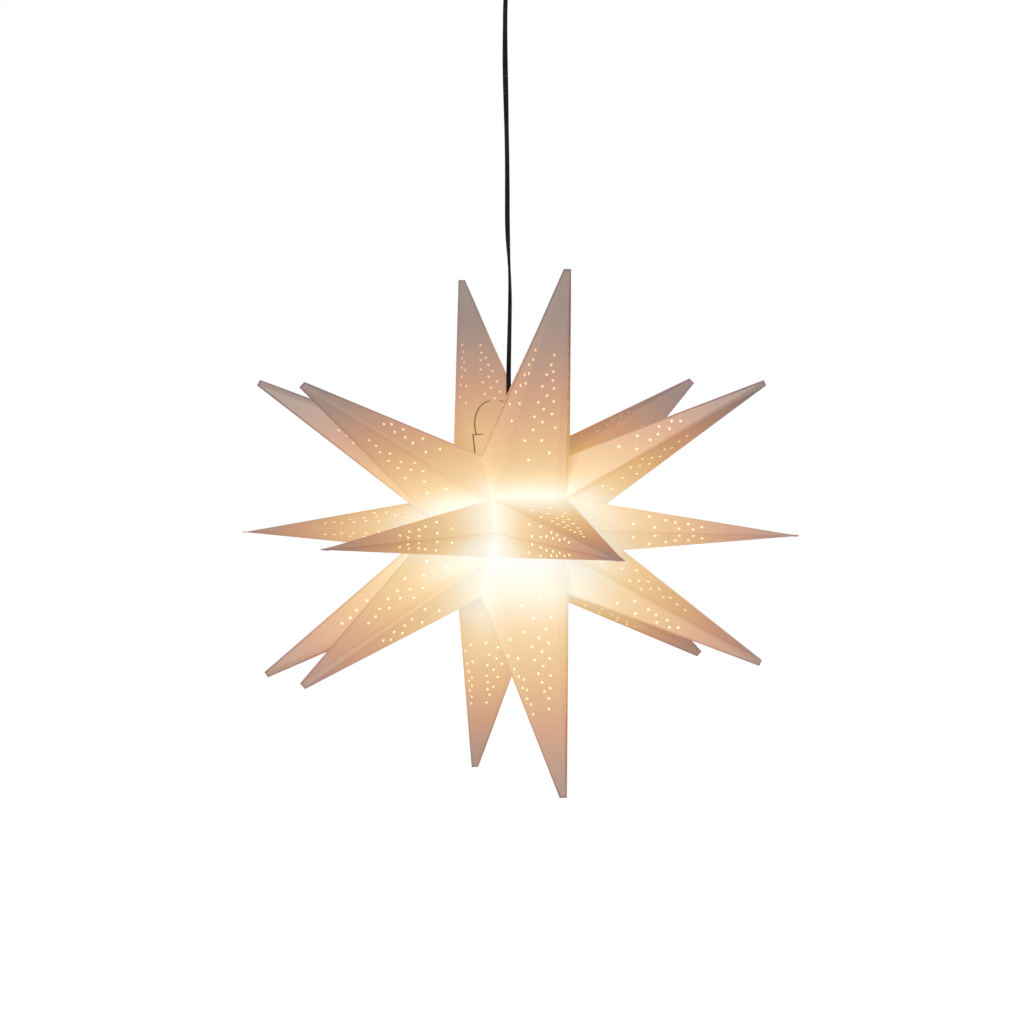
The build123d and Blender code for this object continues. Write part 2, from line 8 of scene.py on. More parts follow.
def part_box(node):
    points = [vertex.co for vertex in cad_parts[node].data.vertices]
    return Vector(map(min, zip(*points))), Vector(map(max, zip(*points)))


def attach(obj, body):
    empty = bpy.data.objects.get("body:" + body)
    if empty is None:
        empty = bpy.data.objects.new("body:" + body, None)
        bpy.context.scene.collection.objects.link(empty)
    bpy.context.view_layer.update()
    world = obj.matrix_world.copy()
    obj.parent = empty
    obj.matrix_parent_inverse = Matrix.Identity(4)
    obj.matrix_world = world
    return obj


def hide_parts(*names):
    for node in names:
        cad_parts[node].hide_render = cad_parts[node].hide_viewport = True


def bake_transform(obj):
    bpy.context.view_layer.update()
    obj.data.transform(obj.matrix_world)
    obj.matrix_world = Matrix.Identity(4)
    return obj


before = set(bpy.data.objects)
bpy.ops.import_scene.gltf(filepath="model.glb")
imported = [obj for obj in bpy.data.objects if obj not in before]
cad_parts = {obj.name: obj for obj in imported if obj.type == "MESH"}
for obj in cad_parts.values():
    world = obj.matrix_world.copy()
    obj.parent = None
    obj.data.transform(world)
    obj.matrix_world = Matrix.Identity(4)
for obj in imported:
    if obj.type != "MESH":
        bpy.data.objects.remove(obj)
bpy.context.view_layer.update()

# The folding paper star of the frame, dressed in its real finishes. Lengths are in millimetres until MM turns
# them to metres. The star's own axis runs along X, and an angle round it is 0 at the front and 90 at the top.
MM = 0.001

# --- Star, with the sizes of its CAD sheets, but for a narrower glued rim
MIDDLE_TIP_REACH = 300.0
SIDE_TIP_REACH = 296.0
SIDE_TIP_TILT = math.radians(55.0)
VALLEY_REACH = 60.3
VALLEY_HALF_LENGTH = 39.7
NOTCH_REACH = 82.4
NOTCH_HALF_SPAN = 46.3
POLE_HALF_SPAN = 79.4
TIP_WIDTH = 5.2
PAPER_THICKNESS = 0.5
SEAM_WIDTH = 1.3
SEAM_THICKNESS = 0.8
SEAM_OVERLAP = 0.4
SEAM_POLE_GAP = 3.0
CORD_NOTCH_RADIUS = 8.0
NOTCH_STEPS = 12
FULL_TURN = 360
# Each segment's angle round the star's axis, rounded from a fit to the star's corners in the photo
SEGMENT_ANGLES = {
    "front": -2.7,
    "top_front": 57.3,
    "top_back": 122.7,
    "back": 185.7,
    "bottom_back": 246.7,
    "bottom_front": 300.7,
}
HANG_DROP = 650.0
STAR_CENTRE = Vector((0, 0, -HANG_DROP))
# How far the middle points' broad faces lie from the star's centre
FACE_DISTANCE = 33.1
# Points nearer to each other than this are one point
WELD_DISTANCE = 0.01

# --- Closing flaps over the cord's way in, on the front of the top back point
FLAP_HINGE_RISE = 1.3
FLAP_THICKNESS = 0.5
FLAP_ROOT_HALF_WIDTH = 38.6
FLAP_SHOULDER_HALF_WIDTH = 34.0
FLAP_SHOULDER_HEIGHT = 37.0
FLAP_ARCH_HALF_WIDTH = 30.5
FLAP_ARCH_HEIGHT = 83.0
FLAP_SLOT_HALF_WIDTH = 5.0
# Width of the dark line painted as shade along the flap's cut edge, and of the dark slit
FLAP_SHADE_LINE_WIDTH = 1.2
FLAP_SLIT_LENGTH = 8.0
FLAP_SLIT_PROUD = 0.1
ARCH_STEPS = 18

# --- Cord: flat twin flex
CORD_WIDTH = 5.5
CORD_THICKNESS = 2.8

# --- Light holes, punched by one die. A scratch script carried their places from the photo's pixels to the
# fitted sheets, and these are its results, averaged: (way along the crease from the valley, way off it)
HOLE_RADIUS = 1.45
HOLE_SIDES = 10
SIDE_HALF_HOLES = [
    (74, 17.5), (88, 6), (96, 17.5), (105, 7), (115, 8), (120, 14.5), (128, 7), (134, 12.5), (142, 8),
]
SIDE_MAIN_HOLES = [
    (42, 20), (51.5, 39.5), (65, 27), (76, 15), (81.5, 36.5), (86, 22), (90, 11), (96.5, 29),
    (100.5, 19.5), (110, 27), (116, 17), (124, 22.5), (133, 17.5), (143, 15.5),
]
MIDDLE_HALF_HOLES = [
    (86, 6), (100, 15), (107, 3), (115, 12), (124, 9), (129, 3.5), (136, 8), (140, 3.5), (148, 6.5),
    (155, 3.5), (165, 4.5),
]
# across the middle point's broad face: (way up it from the valley, way to the right of its middle)
MIDDLE_MAIN_HOLES = [
    (44, 7), (52, -14), (66, -3.5), (66, 14.5), (78, 7.5), (80, -15.5), (86.5, -1), (92.5, 8.5),
    (95.5, -9.5), (101, 0), (108.5, 7), (109.5, -9), (116, -1), (123.5, -7), (126, 5.5), (132.5, -4.5),
    (139, 3), (142, -3.5), (149.5, 0), (160, -1.5),
]
GLUE_TAB_WIDTH = 11.0


def ray(angle, reach, along=0.0):
    """A point at an angle round the star's axis, some way out from it and some way along it."""
    turn = math.radians(angle)
    return Vector((along, -reach * math.cos(turn), reach * math.sin(turn)))


def in_place(point):
    """A point given about the star's centre, in metres in the frame."""
    return (STAR_CENTRE + point) * MM


def half_outline():
    """One half of a segment's zigzag edge, from the pole to the middle tip, as (along, out) pairs."""
    tip = Vector((math.sin(SIDE_TIP_TILT), math.cos(SIDE_TIP_TILT)))
    across = Vector((math.cos(SIDE_TIP_TILT), -math.sin(SIDE_TIP_TILT))) * TIP_WIDTH / 2
    return [
        Vector((POLE_HALF_SPAN, 0)),
        tip * SIDE_TIP_REACH + across,
        tip * SIDE_TIP_REACH - across,
        Vector((NOTCH_HALF_SPAN, NOTCH_REACH)),
        Vector((TIP_WIDTH / 2, MIDDLE_TIP_REACH)),
    ]


# -------------------------------------------------------------------------------------------------- camera
# Its place and lens, rounded from the same fit to the star's corners in the photo
VIEW_AZIMUTH = math.radians(-19.37)
VIEW_ELEVATION = math.radians(4.02)
VIEW_DISTANCE = 2286.0
VIEW_SHIFT_RIGHT = 0.97
VIEW_SHIFT_UP = 10.2
LENS = 77.83

VIEW_BACK = Vector(
    (
        math.sin(VIEW_AZIMUTH) * math.cos(VIEW_ELEVATION),
        -math.cos(VIEW_AZIMUTH) * math.cos(VIEW_ELEVATION),
        math.sin(VIEW_ELEVATION),
    )
)
VIEW_RIGHT = Vector((math.cos(VIEW_AZIMUTH), math.sin(VIEW_AZIMUTH), 0))
VIEW_LEVEL_BACK = Vector((math.sin(VIEW_AZIMUTH), -math.cos(VIEW_AZIMUTH), 0))
camera = bpy.data.objects.new("camera", bpy.data.cameras.new("camera"))
camera.data.lens = LENS
camera.data.sensor_width = 36.0
camera.location = in_place(
    VIEW_BACK * VIEW_DISTANCE + VIEW_RIGHT * VIEW_SHIFT_RIGHT + VIEW_BACK.cross(VIEW_RIGHT) * VIEW_SHIFT_UP
)
camera.rotation_mode = "QUATERNION"
camera.rotation_quaternion = VIEW_BACK.to_track_quat("Z", "Y")
camera.data.clip_end = 100.0
bpy.context.scene.collection.objects.link(camera)
bpy.context.scene.camera = camera
bpy.context.scene.view_settings.view_transform = "Standard"

# ----------------------------------------------------------------------------------------------- materials
def colour(code):
    """A colour written as sRGB hex, as Blender's linear values."""
    values = [int(code[i:i + 2], 16) / 255 for i in (0, 2, 4)]
    linear = [v / 12.92 if v <= 0.04045 else ((v + 0.055) / 1.055) ** 2.4 for v in values]
    return (*linear, 1.0)


def add_node(tree, kind, inputs=None, **settings):
    """One node with its settings. Each input is a value, or the socket that feeds it."""
    node = tree.nodes.new(kind)
    for name, value in settings.items():
        setattr(node, name, value)
    for name, value in (inputs or {}).items():
        if isinstance(value, bpy.types.NodeSocket):
            tree.links.new(value, node.inputs[name])
        else:
            node.inputs[name].default_value = value
    return node


def math_node(tree, operation, *values):
    """The result of one maths node on its values, each a number or a socket."""
    return add_node(tree, "ShaderNodeMath", dict(enumerate(values)), operation=operation).outputs[0]


def new_material(name):
    """A material with only its shader and output, and its tree."""
    material = bpy.data.materials.new(name)
    material.use_nodes = True
    tree = material.node_tree
    tree.nodes.clear()
    shader = add_node(tree, "ShaderNodeBsdfPrincipled")
    add_node(tree, "ShaderNodeOutputMaterial", {"Surface": shader.outputs["BSDF"]})
    return material, tree, shader


def ramp(tree, factor, stops):
    """A colour ramp with (place, hex colour) stops."""
    node = add_node(tree, "ShaderNodeValToRGB", {"Fac": factor})
    while len(node.color_ramp.elements) < len(stops):
        node.color_ramp.elements.new(0.5)
    for element, (place, code) in zip(node.color_ramp.elements, stops):
        element.position = place
        element.color = colour(code)
    return node.outputs["Color"]


# The glow's sizes and shares are rounded from a fit to the photo's tones.
# How far the glow's middle lies over the star's centre, and the distance from it in which it falls to 1/e
GLOW_CENTRE = 10.0
GLOW_REACH = 54.0
# The share of the glow that depends on how squarely the paper faces the bulb
GLOW_FACING_SHARE = 0.2
# The lamp holder's shade: the rise over the bulb where it starts and is full, and the light it leaves
SHADE_START = -0.2
SHADE_END = 0.6
SHADE_LEFT = 0.2
# The eye's even steps, so that the ramp's stops lie well apart
GLOW_STEP_POWER = 0.4
# The paper's fibre clouds and its felt marks, across
CLOUD_SIZE = 6.0
FELT_SIZE = 1.2


def bulb_light(tree):
    """The way from the bulb to each place, its length, and how squarely the surface there faces the bulb."""
    coords = add_node(tree, "ShaderNodeTexCoord")
    bulb = in_place(Vector((0, 0, GLOW_CENTRE)))
    away = add_node(
        tree, "ShaderNodeVectorMath", {0: coords.outputs["Object"], 1: bulb}, operation="SUBTRACT"
    )
    distance = add_node(tree, "ShaderNodeVectorMath", {0: away.outputs[0]}, operation="LENGTH")
    direction = add_node(tree, "ShaderNodeVectorMath", {0: away.outputs[0]}, operation="NORMALIZE")
    facing = add_node(
        tree,
        "ShaderNodeVectorMath",
        {0: direction.outputs[0], 1: coords.outputs["Normal"]},
        operation="DOT_PRODUCT",
    )
    facing = math_node(tree, "ABSOLUTE", facing.outputs["Value"])
    return coords, away, distance.outputs["Value"], facing


def lit_paper(name, tone, glow_stops, layers=1.0):
    """Laminated paper, creased and glued: a matt warm grey sheet with a faint cloud of fibres.

    Light from the bulb that soaks through it is painted into its emission, most where the paper is near the
    bulb and square to its light, so it goes from white at the star's middle through cream and tan to the
    paper's own grey at the tips.
    """
    material, tree, shader = new_material(name)
    coords, away, distance, facing = bulb_light(tree)
    height = add_node(tree, "ShaderNodeSeparateXYZ", {0: away.outputs[0]})
    rise = math_node(tree, "DIVIDE", height.outputs["Z"], distance)
    # The lamp holder above the bulb keeps some light off the upper points
    shade = add_node(
        tree,
        "ShaderNodeMapRange",
        {"Value": rise, "From Min": SHADE_START, "From Max": SHADE_END, "To Min": 1.0, "To Max": SHADE_LEFT},
    )
    square = math_node(tree, "MULTIPLY_ADD", facing, GLOW_FACING_SHARE, 1 - GLOW_FACING_SHARE)
    fall = math_node(tree, "MULTIPLY", distance, -1 / (GLOW_REACH * MM))
    fall = math_node(tree, "EXPONENT", fall)
    level = math_node(tree, "MULTIPLY", fall, shade.outputs[0])
    level = math_node(tree, "MULTIPLY", level, square)
    clouds = add_node(
        tree,
        "ShaderNodeTexNoise",
        {"Vector": coords.outputs["Object"], "Scale": 1 / (CLOUD_SIZE * MM), "Detail": 4.0},
    )
    felt = add_node(
        tree,
        "ShaderNodeTexNoise",
        {"Vector": coords.outputs["Object"], "Scale": 1 / (FELT_SIZE * MM), "Detail": 2.0},
    )
    mottle = add_node(
        tree,
        "ShaderNodeMapRange",
        {"Value": clouds.outputs["Fac"], "From Min": 0.3, "From Max": 0.7, "To Min": 0.96, "To Max": 1.04},
    )
    level = math_node(tree, "MULTIPLY", level, mottle.outputs[0])
    level = math_node(tree, "MULTIPLY", level, layers)
    level = math_node(tree, "POWER", level, GLOW_STEP_POWER)
    base = add_node(
        tree,
        "ShaderNodeMix",
        {"Factor": felt.outputs["Fac"], "A": colour(tone[0]), "B": colour(tone[1])},
        data_type="RGBA",
    )
    bump = add_node(
        tree, "ShaderNodeBump", {"Height": felt.outputs["Fac"], "Strength": 0.06, "Distance": 0.05 * MM}
    )
    shader.inputs["Roughness"].default_value = 0.55
    shader.inputs["IOR"].default_value = 1.45
    shader.inputs["Specular IOR Level"].default_value = 0.3
    shader.inputs["Emission Strength"].default_value = 1.0
    tree.links.new(base.outputs["Result"], shader.inputs["Base Color"])
    tree.links.new(bump.outputs[0], shader.inputs["Normal"])
    tree.links.new(ramp(tree, level, glow_stops), shader.inputs["Emission Color"])
    return material


# How much the grain of a mould changes the gloss each way, and how dark its darkest tone is
GRAIN_GLOSS = 0.06
GRAIN_TONE = 0.9
# How long the rolls' marks are for their width, how they change the gloss, and how dark their darkest tone is
MARK_STRETCH = 12.0
MARK_GLOSSIER = 0.08
MARK_DULLER = 0.1
MARK_TONE = 0.82


def moulded(name, code, roughness, grain_mm, depth_mm, coat=0.0, specular=0.5):
    """Moulded plastic or ceramic: one even colour with the fine grain of its mould in the gloss."""
    material, tree, shader = new_material(name)
    coords = add_node(tree, "ShaderNodeTexCoord")
    grain = add_node(
        tree,
        "ShaderNodeTexNoise",
        {"Vector": coords.outputs["Object"], "Scale": 1 / (grain_mm * MM), "Detail": 3.0},
    )
    gloss = add_node(
        tree,
        "ShaderNodeMapRange",
        {"Value": grain.outputs["Fac"], "To Min": roughness - GRAIN_GLOSS, "To Max": roughness + GRAIN_GLOSS},
    )
    bump = add_node(
        tree,
        "ShaderNodeBump",
        {"Height": grain.outputs["Fac"], "Strength": 0.3, "Distance": depth_mm * MM},
    )
    tone = add_node(
        tree,
        "ShaderNodeMix",
        {"Factor": grain.outputs["Fac"], "A": colour(code), "B": [GRAIN_TONE * v for v in colour(code)]},
        data_type="RGBA",
    )
    shader.inputs["Coat Weight"].default_value = coat
    shader.inputs["Specular IOR Level"].default_value = specular
    tree.links.new(tone.outputs["Result"], shader.inputs["Base Color"])
    tree.links.new(gloss.outputs[0], shader.inputs["Roughness"])
    tree.links.new(bump.outputs[0], shader.inputs["Normal"])
    return material


def metal(name, code, roughness, brush_mm):
    """Plated or rolled metal with fine marks from its rolls and dies."""
    material, tree, shader = new_material(name)
    coords = add_node(tree, "ShaderNodeTexCoord")
    stretch = add_node(
        tree, "ShaderNodeMapping", {"Vector": coords.outputs["Object"], "Scale": (1.0, 1.0, MARK_STRETCH)}
    )
    marks = add_node(
        tree,
        "ShaderNodeTexNoise",
        {"Vector": stretch.outputs[0], "Scale": 1 / (brush_mm * MARK_STRETCH * MM), "Detail": 4.0},
    )
    gloss = add_node(
        tree,
        "ShaderNodeMapRange",
        {
            "Value": marks.outputs["Fac"],
            "To Min": roughness - MARK_GLOSSIER,
            "To Max": roughness + MARK_DULLER,
        },
    )
    tone = add_node(
        tree,
        "ShaderNodeMix",
        {"Factor": marks.outputs["Fac"], "A": colour(code), "B": [MARK_TONE * v for v in colour(code)]},
        data_type="RGBA",
    )
    shader.inputs["Metallic"].default_value = 1.0
    tree.links.new(tone.outputs["Result"], shader.inputs["Base Color"])
    tree.links.new(gloss.outputs[0], shader.inputs["Roughness"])
    return material


# What the light does outside: a dull red at the tips, brown, tan, cream, and white at the middle. These
# are few, round stops, but they follow a ramp fitted to the photo's tones
GLOW = [
    (0.08, "400000"),
    (0.15, "985000"),
    (0.22, "b48030"),
    (0.32, "c8a468"),
    (0.42, "d0c8b0"),
    (0.55, "d4d4d4"),
]
# The lit inner side, seen through the light holes: a lighter tone and a brighter painted glow
INNER_GLOW = [(0.10, "c89a64"), (0.2, "f0c48c"), (0.3, "fce0b4"), (0.5, "fff4e0")]
# Inside the point over the lamp holder, where less light comes
SHADED_INNER_GLOW = [(0.10, "a87c50"), (0.2, "c89c6c"), (0.3, "e0c09a"), (0.5, "f4e4cc")]
# Each paper below has the bulb's light through it painted into its emission
paper_outside = lit_paper("laminated_paper", ("aca49a", "9c948a"), GLOW)
# Hole-free tab facets: a darker tone and a dimmer painted glow, a darker band beside the creases
paper_tab_band = lit_paper("laminated_paper_tab_band_dimmed", ("a49c92", "9c948a"), GLOW, layers=0.93)
paper_inside = lit_paper("laminated_paper_lit_side", ("c8b8a4", "c0b09c"), INNER_GLOW)
paper_shaded = lit_paper("laminated_paper_shaded", ("aca49a", "9c948a"), GLOW, layers=0.78)
paper_shaded_inside = lit_paper("laminated_paper_shaded_lit_side", ("c8b8a4", "c0b09c"), SHADED_INNER_GLOW)
# Dark brown painted shade for the gap along the flaps' cut edge and in their slits
paper_gap_shade = moulded("laminated_paper_slit_painted_shade", "7c5a38", 0.7, 1.0, 0.05)
# The glued rim: a greyer, darker tone painted as the paper in shade, with the same painted glow
paper_rim_in_shade = lit_paper("laminated_paper_glued_edge_painted_shade", ("928c8e", "888284"), GLOW)

pvc_flex = moulded("black_pvc_flex", "070708", 0.5, 1.5, 0.03, specular=0.12)
fitting_abs = moulded("black_abs_moulded", "121214", 0.36, 0.6, 0.02, specular=0.3)
holder_phenolic = moulded("phenolic_resin_moulded", "1d1815", 0.3, 0.9, 0.02, coat=0.2)
holder_porcelain = moulded("glazed_porcelain", "dcdad2", 0.25, 2.0, 0.04, coat=0.6)
terminal_nylon = moulded("natural_nylon_moulded", "dad7cc", 0.5, 0.8, 0.03)
zinc_steel = metal("zinc_plated_steel", "b7bbc0", 0.34, 0.15)
screw_steel = metal("zinc_plated_screw_steel", "c2c4c6", 0.28, 0.1)
pressed_brass = metal("pressed_brass", "c49a4e", 0.28, 0.1)
nickel_plate = metal("nickel_plated_brass", "cfc9bd", 0.22, 0.1)


def opal():
    """Opal glass, frosted within: milk-white, lit through by the filaments, dimmer towards its neck."""
    material, tree, shader = new_material("opal_blown_glass")
    coords = add_node(tree, "ShaderNodeTexCoord")
    height = add_node(tree, "ShaderNodeSeparateXYZ", {0: coords.outputs["Object"]})
    lowest, highest = (corner.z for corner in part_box("bulb_glass"))
    share = add_node(
        tree, "ShaderNodeMapRange", {"Value": height.outputs["Z"], "From Min": lowest, "From Max": highest}
    )
    glow = ramp(
        tree,
        share.outputs[0],
        [(0.0, "ffe2b0"), (0.3, "fff2d8"), (0.55, "ffe6ba"), (0.8, "f2c68c"), (1.0, "a8804e")],
    )
    shader.inputs["Base Color"].default_value = colour("f4ede0")
    shader.inputs["Roughness"].default_value = 0.25
    shader.inputs["Coat Weight"].default_value = 0.5
    shader.inputs["Emission Strength"].default_value = 1.6
    tree.links.new(glow, shader.inputs["Emission Color"])
    return material


def clear():
    """Clear pressed glass with the faint waves of its pressing."""
    material, tree, shader = new_material("clear_pressed_glass")
    coords = add_node(tree, "ShaderNodeTexCoord")
    waves = add_node(
        tree, "ShaderNodeTexNoise", {"Vector": coords.outputs["Object"], "Scale": 1 / (3 * MM), "Detail": 1.0}
    )
    bump = add_node(
        tree, "ShaderNodeBump", {"Height": waves.outputs["Fac"], "Strength": 0.4, "Distance": 0.1 * MM}
    )
    shader.inputs["Base Color"].default_value = colour("f6f8f4")
    shader.inputs["Roughness"].default_value = 0.06
    shader.inputs["Transmission Weight"].default_value = 1.0
    tree.links.new(bump.outputs[0], shader.inputs["Normal"])
    return material


def filament():
    """Phosphor-coated filament sticks: yellow silicone over a row of chips, each a brighter spot."""
    material, tree, shader = new_material("phosphor_coated_filament")
    coords = add_node(tree, "ShaderNodeTexCoord")
    # One chip every 1.5 mm along the stick
    chips = add_node(
        tree,
        "ShaderNodeTexWave",
        {"Vector": coords.outputs["Object"], "Scale": 1 / (1.5 * MM) * math.pi / 10, "Distortion": 0.0},
        bands_direction="Z",
    )
    glow = ramp(tree, chips.outputs["Fac"], [(0.0, "ffb04a"), (1.0, "ffd890")])
    shader.inputs["Base Color"].default_value = colour("e8b040")
    shader.inputs["Roughness"].default_value = 0.4
    shader.inputs["Emission Strength"].default_value = 6.0
    tree.links.new(glow, shader.inputs["Emission Color"])
    return material


opal_glass = opal()
clear_glass = clear()
lit_filament = filament()


# --------------------------------------------------------------------------------------------------- star
def punch_frame(origin, along, normal, hole):
    """Where a light hole goes: its centre, and the turn that lays a circle flat on the paper there."""
    off = normal.cross(along)
    centre = origin + along * hole[0] + off * hole[1]
    turn = Matrix((off, along, normal)).transposed().to_4x4()
    return Matrix.Translation(in_place(centre)) @ turn


def paper_facet(mesh, corners, holes, slot):
    """A flat facet of a sheet, filled between its outline and the rims of its light holes."""
    points = [mesh.verts.new(in_place(corner)) for corner in corners]
    edges = [mesh.edges.new((a, b)) for a, b in zip(points, points[1:] + points[:1])]
    normal = (corners[1] - corners[0]).cross(corners[-1] - corners[0]).normalized()
    if normal.dot(corners[0]) < 0:
        normal.negate()
    for hole in holes:
        ring = bmesh.ops.create_circle(
            mesh, cap_ends=False, segments=HOLE_SIDES, radius=HOLE_RADIUS * MM, matrix=hole
        )
        edges += {edge for point in ring["verts"] for edge in point.link_edges}
    filled = bmesh.ops.triangle_fill(mesh, use_beauty=True, use_dissolve=False, edges=edges, normal=normal)
    faces = [item for item in filled["geom"] if isinstance(item, bmesh.types.BMFace)]
    for face in faces:
        face.material_index = slot
        face.normal_update()
        if face.normal.dot(normal) < 0:
            face.normal_flip()


def crease_holes(start, end, third, spots):
    """A facet's light holes, set out from the crease between its start and end, towards its third corner."""
    along = (end - start).normalized()
    normal = along.cross(third - start).normalized()
    return [punch_frame(start, along, normal, spot) for spot in spots]


def sheet_mesh(seam_angle, valley_angle, mirrored, notched):
    """The nine facets of a creased sheet, with its holes and its tabs, drawn darker with a dimmer painted
    glow.
    """
    mesh = bmesh.new()
    valley_ends = {}
    middle_ends = {}
    for side in (-1, 1):
        pole, tip_outer, tip_inner, notch, top = [
            ray(seam_angle, out, side * along) for along, out in half_outline()
        ]
        valley = ray(valley_angle, VALLEY_REACH, side * VALLEY_HALF_LENGTH)
        tab = valley + (pole - valley) * (GLUE_TAB_WIDTH / (pole - valley).length)
        paper_facet(mesh, (valley, tab, tip_outer), [], 1)
        main_holes = crease_holes(valley, tip_outer, pole, SIDE_MAIN_HOLES)
        paper_facet(mesh, (tab, pole, tip_outer), main_holes, 0)
        paper_facet(mesh, (valley, tip_outer, tip_inner), [], 0)
        half_holes = crease_holes(valley, tip_inner, notch, SIDE_HALF_HOLES)
        paper_facet(mesh, (valley, tip_inner, notch), half_holes, 0)
        paper_facet(mesh, (valley, notch, top), crease_holes(valley, top, notch, MIDDLE_HALF_HOLES), 0)
        valley_ends[side] = valley
        middle_ends[side] = top
    foot = (valley_ends[-1] + valley_ends[1]) / 2
    head = (middle_ends[-1] + middle_ends[1]) / 2
    tab = valley_ends[1] + (valley_ends[-1] - valley_ends[1]).normalized() * GLUE_TAB_WIDTH
    spots = [(up, -across if mirrored else across) for up, across in MIDDLE_MAIN_HOLES]
    up = (head - foot).normalized()
    normal = up.cross(Vector((-1, 0, 0)))
    holes = [punch_frame(foot, up, normal, spot) for spot in spots]
    paper_facet(mesh, (valley_ends[1], tab, middle_ends[1]), [], 1)
    cord_notch = []
    if notched:
        steps = [math.pi * step / NOTCH_STEPS for step in range(NOTCH_STEPS + 1)]
        cord_notch = [
            foot + CORD_NOTCH_RADIUS * (Vector((math.cos(turn), 0, 0)) + up * math.sin(turn))
            for turn in steps
        ]
    paper_facet(mesh, (tab, *cord_notch, valley_ends[-1], middle_ends[-1], middle_ends[1]), holes, 0)
    bmesh.ops.remove_doubles(mesh, verts=mesh.verts[:], dist=WELD_DISTANCE * MM)
    return mesh


def thicken_sheet(mesh):
    """Give the creased sheet its paper's thickness, drawn in towards the star's centre, lit side within."""
    outside = mesh.faces[:]
    drawn = bmesh.ops.extrude_face_region(mesh, geom=outside, use_keep_orig=True)
    bmesh.ops.scale(
        mesh,
        vec=Vector.Fill(3, 1 - PAPER_THICKNESS / FACE_DISTANCE),
        space=Matrix.Translation(-STAR_CENTRE * MM),
        verts=[item for item in drawn["geom"] if isinstance(item, bmesh.types.BMVert)],
    )
    for face in set(mesh.faces) - set(outside):
        face.material_index = 2
    bmesh.ops.recalc_face_normals(mesh, faces=mesh.faces[:])


def finish_piece(mesh, name, materials, body):
    """Turn a bmesh into a piece that rides on its body."""
    data = bpy.data.meshes.new(name)
    mesh.to_mesh(data)
    mesh.free()
    for material in materials:
        data.materials.append(material)
    piece = bpy.data.objects.new(name, data)
    bpy.context.scene.collection.objects.link(piece)
    if body:
        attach(piece, body)
    return piece


def seam_rim(seam_angle):
    """The glued rim that stands out along a segment's zigzag edge."""
    half = half_outline()
    outline = half + [Vector((-point.x, point.y)) for point in reversed(half)]
    mesh = bmesh.new()
    corners = []
    for before, here, after in zip(outline[-1:] + outline[:-1], outline, outline[1:] + outline[:1]):
        arrives = (here - before).normalized()
        leaves = (after - here).normalized()
        outward = Vector((arrives.y + leaves.y, -arrives.x - leaves.x)).normalized()
        reach = SEAM_WIDTH / outward.dot(Vector((arrives.y, -arrives.x)))
        corners.append(here + outward * reach)
    face = mesh.faces.new([mesh.verts.new(in_place(ray(seam_angle, out, along))) for along, out in corners])
    face.normal_update()
    bmesh.ops.inset_region(
        mesh,
        faces=[face],
        thickness=(SEAM_WIDTH + SEAM_OVERLAP) * MM,
        use_even_offset=True,
        use_boundary=True,
    )
    bmesh.ops.delete(mesh, geom=[face], context="FACES")
    away = ray(seam_angle, 1)
    bmesh.ops.bisect_plane(
        mesh,
        geom=mesh.verts[:] + mesh.edges[:] + mesh.faces[:],
        dist=1e-7,
        plane_co=in_place(away * SEAM_POLE_GAP),
        plane_no=away,
        clear_inner=True,
    )
    across = Vector((1, 0, 0)).cross(away) * SEAM_THICKNESS * MM
    drawn = bmesh.ops.extrude_face_region(mesh, geom=mesh.faces[:], use_keep_orig=True)
    bmesh.ops.translate(
        mesh, vec=across, verts=[item for item in drawn["geom"] if isinstance(item, bmesh.types.BMVert)]
    )
    bmesh.ops.translate(mesh, vec=-across / 2, verts=mesh.verts[:])
    bmesh.ops.recalc_face_normals(mesh, faces=mesh.faces[:])
    return mesh


TOP_VALLEY_ANGLE = (SEGMENT_ANGLES["top_front"] + SEGMENT_ANGLES["top_back"]) / 2
segments = list(SEGMENT_ANGLES)
for place, segment in enumerate(segments):
    seam_angle = SEGMENT_ANGLES[segment]
    before = SEGMENT_ANGLES[segments[place - 1]]
    if place == 0:
        before -= FULL_TURN
    after = SEGMENT_ANGLES[segments[(place + 1) % len(segments)]]
    if place == len(segments) - 1:
        after += FULL_TURN
    for number, valley_angle in ((1, (before + seam_angle) / 2), (2, (seam_angle + after) / 2)):
        notched = math.isclose(valley_angle, TOP_VALLEY_ANGLE)
        mesh = sheet_mesh(seam_angle, valley_angle, number == 2, notched)
        thicken_sheet(mesh)
        papers = (paper_outside, paper_tab_band, paper_inside)
        if segment == "top_back":
            papers = (paper_shaded, paper_tab_band, paper_shaded_inside)
        sheet = finish_piece(mesh, f"{segment}_paper_{number}", papers, "star")
        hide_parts(f"{segment}_sheet_{number}")
    rim = finish_piece(seam_rim(seam_angle), f"{segment}_seam_rim", (paper_rim_in_shade,), "star")


# --------------------------------------------------------------------------------------------------- flaps
FLAP_HINGE = ray(TOP_VALLEY_ANGLE, VALLEY_REACH + FLAP_HINGE_RISE)
FLAP_UP = ray(SEGMENT_ANGLES["top_back"], MIDDLE_TIP_REACH) - ray(TOP_VALLEY_ANGLE, VALLEY_REACH)
FLAP_UP.normalize()
FLAP_OUT = Vector((1, 0, 0)).cross(FLAP_UP)


def on_flap(across, up, out=0.0):
    """A place on the closing flaps, from the middle of their hinge line."""
    return in_place(FLAP_HINGE + Vector((across, 0, 0)) + FLAP_UP * up + FLAP_OUT * out)


